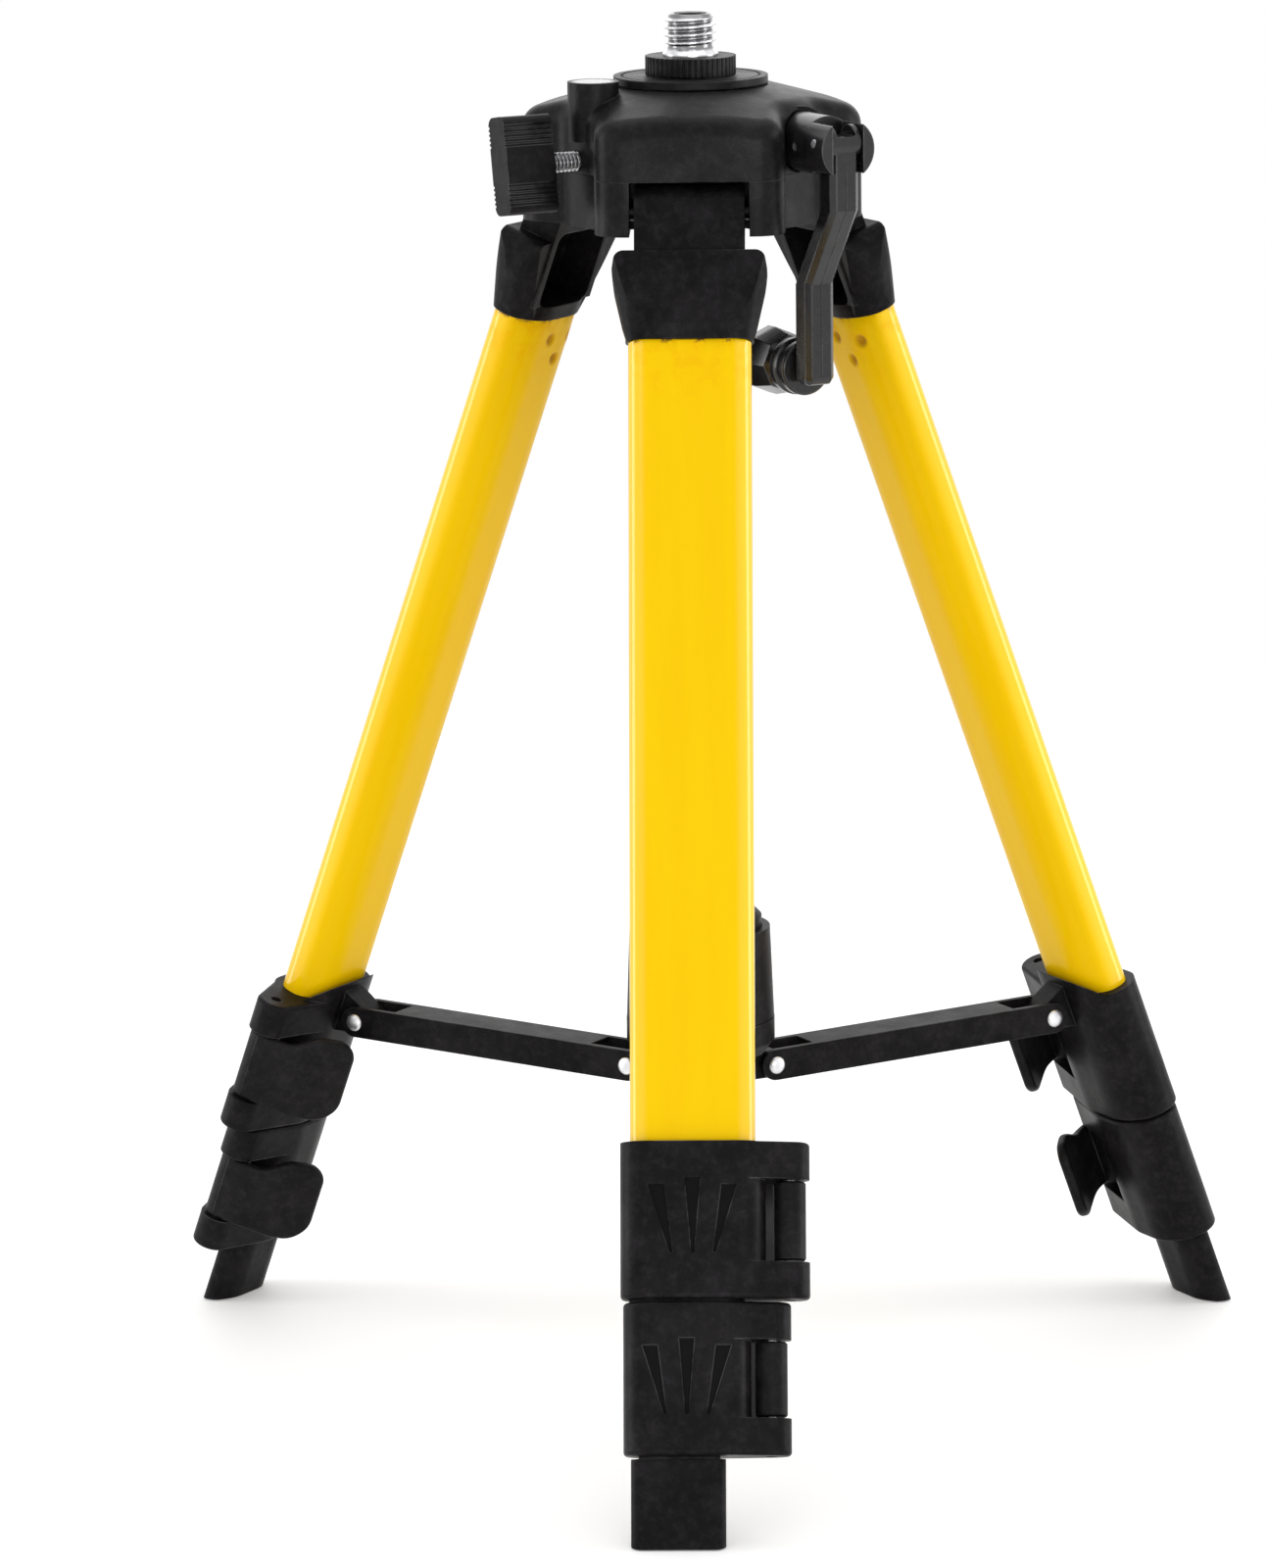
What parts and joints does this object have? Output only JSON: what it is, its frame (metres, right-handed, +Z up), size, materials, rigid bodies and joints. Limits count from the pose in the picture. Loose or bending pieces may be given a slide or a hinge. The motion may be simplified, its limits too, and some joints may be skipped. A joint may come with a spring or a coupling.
{
  "type": "laser level tripod",
  "caption": "Folding tripod with yellow telescopic legs, flip-lock collars, braced spreader hub, cranked lifting column and a threaded stud for a laser level.",
  "frame": {"origin": "on the floor under the axis of the lifting column", "axes": "+Z up along the column, -Y towards the front leg, +X to the crank's side"},
  "size_m": [0.329, 0.2923, 0.4175],
  "materials": {
    "black_plastic": "matte, fine grain",
    "yellow_paint": "gloss paint",
    "bright_steel": "bright",
    "aluminium": "satin",
    "vial_white": "gloss",
    "clear_lens": "clear"
  },
  "bodies": {
    "head": {"head_top": "black_plastic", "head_base": "black_plastic", "case_screws": "bright_steel", "leg_hinge_pins": "bright_steel", "bubble_vial": "vial_white", "bubble_lens": "clear_lens", "guide_tube": "black_plastic"},
    "column": {"column_tube": "aluminium", "platform": "black_plastic"},
    "stud": {"captive_screw": "bright_steel", "thumb_wheel": "black_plastic", "adapter_stud": "aluminium"},
    "crank": {"pinion_shaft": "bright_steel", "crank_hub": "black_plastic", "crank_pins": "bright_steel"},
    "crank_arm": {"crank_arm": "black_plastic"},
    "crank_grip": {"crank_grip": "black_plastic"},
    "lock": {"lock_screw": "bright_steel", "lock_knob": "black_plastic"},
    "hub": {"spreader_hub": "black_plastic", "hub_sleeve": "black_plastic"},
    "leg_front": {"front_cap": "black_plastic", "front_upper_tube": "yellow_paint", "front_upper_collar": "black_plastic", "front_upper_lever_pin": "bright_steel"},
    "upper_lever_front": {"front_upper_lever": "black_plastic"},
    "strut_front": {"front_strut": "black_plastic", "front_strut_rivets": "bright_steel"},
    "middle_front": {"front_middle_tube": "aluminium", "front_lower_collar": "black_plastic", "front_lower_lever_pin": "bright_steel"},
    "lower_lever_front": {"front_lower_lever": "black_plastic"},
    "lower_front": {"front_lower_tube": "aluminium", "front_foot": "black_plastic"},
    "leg_right": {"right_cap": "black_plastic", "right_upper_tube": "yellow_paint", "right_upper_collar": "black_plastic", "right_upper_lever_pin": "bright_steel"},
    "upper_lever_right": {"right_upper_lever": "black_plastic"},
    "strut_right": {"right_strut": "black_plastic", "right_strut_rivets": "bright_steel"},
    "middle_right": {"right_middle_tube": "aluminium", "right_lower_collar": "black_plastic", "right_lower_lever_pin": "bright_steel"},
    "lower_lever_right": {"right_lower_lever": "black_plastic"},
    "lower_right": {"right_lower_tube": "aluminium", "right_foot": "black_plastic"},
    "leg_left": {"left_cap": "black_plastic", "left_upper_tube": "yellow_paint", "left_upper_collar": "black_plastic", "left_upper_lever_pin": "bright_steel"},
    "upper_lever_left": {"left_upper_lever": "black_plastic"},
    "strut_left": {"left_strut": "black_plastic", "left_strut_rivets": "bright_steel"},
    "middle_left": {"left_middle_tube": "aluminium", "left_lower_collar": "black_plastic", "left_lower_lever_pin": "bright_steel"},
    "lower_lever_left": {"left_lower_lever": "black_plastic"},
    "lower_left": {"left_lower_tube": "aluminium", "left_foot": "black_plastic"}
  },
  "joints": [
    {"name": "column_lift", "type": "slide", "parent": "head", "child": "column", "axis": [0, 0, 1], "range_m": [0, 0.15]},
    {"name": "stud_spin", "type": "hinge", "parent": "column", "child": "stud", "pos_m": [0, 0, 0.4], "axis": [0, 0, 1], "continuous": true},
    {"name": "crank_spin", "type": "hinge", "parent": "head", "child": "crank", "pos_m": [0.01559, 0.009, 0.3815], "axis": [0.5, -0.866, 0], "range_deg": [0, 12]},
    {"name": "crank_arm_fold", "type": "hinge", "parent": "crank", "child": "crank_arm", "pos_m": [0.04384, -0.03993, 0.3833], "axis": [-0.866, -0.5, 0], "range_deg": [0, 180]},
    {"name": "grip_spin", "type": "hinge", "parent": "crank_arm", "child": "crank_grip", "pos_m": [0.02759, -0.01179, 0.3143], "axis": [0.5, -0.866, 0], "continuous": true},
    {"name": "lock_turn", "type": "hinge", "parent": "head", "child": "lock", "pos_m": [-0.04884, -0.0282, 0.376], "axis": [-0.866, -0.5, 0], "range_deg": [0, 540]},
    {"name": "hub_lift", "type": "slide", "parent": "head", "child": "hub", "axis": [0, 0, 1], "range_m": [0, 0.05243]},
    {"name": "leg_fold_front", "type": "hinge", "parent": "head", "child": "leg_front", "pos_m": [0, -0.038, 0.363], "axis": [1, 0, 0], "range_deg": [0, 3.5]},
    {"name": "strut_front", "type": "hinge", "parent": "leg_front", "child": "strut_front", "pos_m": [0, -0.1226, 0.0971], "axis": [1, 0, 0], "range_deg": [0, 31.06]},
    {"name": "upper_lever_front", "type": "hinge", "parent": "leg_front", "child": "upper_lever_front", "pos_m": [0.0276, -0.14578, 0.08602], "axis": [0, -0.3551, -0.9348], "range_deg": [0, 100]},
    {"name": "middle_slide_front", "type": "slide", "parent": "leg_front", "child": "middle_front", "axis": [0, -0.3551, -0.9348], "range_m": [0, 0.17]},
    {"name": "lower_lever_front", "type": "hinge", "parent": "middle_front", "child": "lower_lever_front", "pos_m": [0.0221, -0.16142, 0.04372], "axis": [0, -0.3551, -0.9348], "range_deg": [0, 100]},
    {"name": "lower_slide_front", "type": "slide", "parent": "middle_front", "child": "lower_front", "axis": [0, -0.3551, -0.9348], "range_m": [0, 0.17]},
    {"name": "leg_fold_right", "type": "hinge", "parent": "head", "child": "leg_right", "pos_m": [0.03291, 0.019, 0.363], "axis": [-0.5, 0.866, 0], "range_deg": [0, 3.5]},
    {"name": "strut_right", "type": "hinge", "parent": "leg_right", "child": "strut_right", "pos_m": [0.10618, 0.0613, 0.0971], "axis": [-0.5, 0.866, 0], "range_deg": [0, 31.06]},
    {"name": "upper_lever_right", "type": "hinge", "parent": "leg_right", "child": "upper_lever_right", "pos_m": [0.11245, 0.09679, 0.08602], "axis": [0.3075, 0.1776, -0.9348], "range_deg": [0, 100]},
    {"name": "middle_slide_right", "type": "slide", "parent": "leg_right", "child": "middle_right", "axis": [0.3075, 0.1776, -0.9348], "range_m": [0, 0.17]},
    {"name": "lower_lever_right", "type": "hinge", "parent": "middle_right", "child": "lower_lever_right", "pos_m": [0.12875, 0.09985, 0.04372], "axis": [0.3075, 0.1776, -0.9348], "range_deg": [0, 100]},
    {"name": "lower_slide_right", "type": "slide", "parent": "middle_right", "child": "lower_right", "axis": [0.3075, 0.1776, -0.9348], "range_m": [0, 0.17]},
    {"name": "leg_fold_left", "type": "hinge", "parent": "head", "child": "leg_left", "pos_m": [-0.03291, 0.019, 0.363], "axis": [-0.5, -0.866, 0], "range_deg": [0, 3.5]},
    {"name": "strut_left", "type": "hinge", "parent": "leg_left", "child": "strut_left", "pos_m": [-0.10618, 0.0613, 0.0971], "axis": [-0.5, -0.866, 0], "range_deg": [0, 31.06]},
    {"name": "upper_lever_left", "type": "hinge", "parent": "leg_left", "child": "upper_lever_left", "pos_m": [-0.14005, 0.04899, 0.08602], "axis": [-0.3075, 0.1776, -0.9348], "range_deg": [0, 100]},
    {"name": "middle_slide_left", "type": "slide", "parent": "leg_left", "child": "middle_left", "axis": [-0.3075, 0.1776, -0.9348], "range_m": [0, 0.17]},
    {"name": "lower_lever_left", "type": "hinge", "parent": "middle_left", "child": "lower_lever_left", "pos_m": [-0.15085, 0.06157, 0.04372], "axis": [-0.3075, 0.1776, -0.9348], "range_deg": [0, 100]},
    {"name": "lower_slide_left", "type": "slide", "parent": "middle_left", "child": "lower_left", "axis": [-0.3075, 0.1776, -0.9348], "range_m": [0, 0.17]}
  ],
  "couplings": [
    {"joint": "leg_fold_front", "follows": "hub_lift", "rad_per_m": 1.1649},
    {"joint": "strut_front", "follows": "hub_lift", "rad_per_m": 10.335},
    {"joint": "leg_fold_right", "follows": "hub_lift", "rad_per_m": 1.1649},
    {"joint": "strut_right", "follows": "hub_lift", "rad_per_m": 10.335},
    {"joint": "leg_fold_left", "follows": "hub_lift", "rad_per_m": 1.1649},
    {"joint": "strut_left", "follows": "hub_lift", "rad_per_m": 10.335}
  ]
}
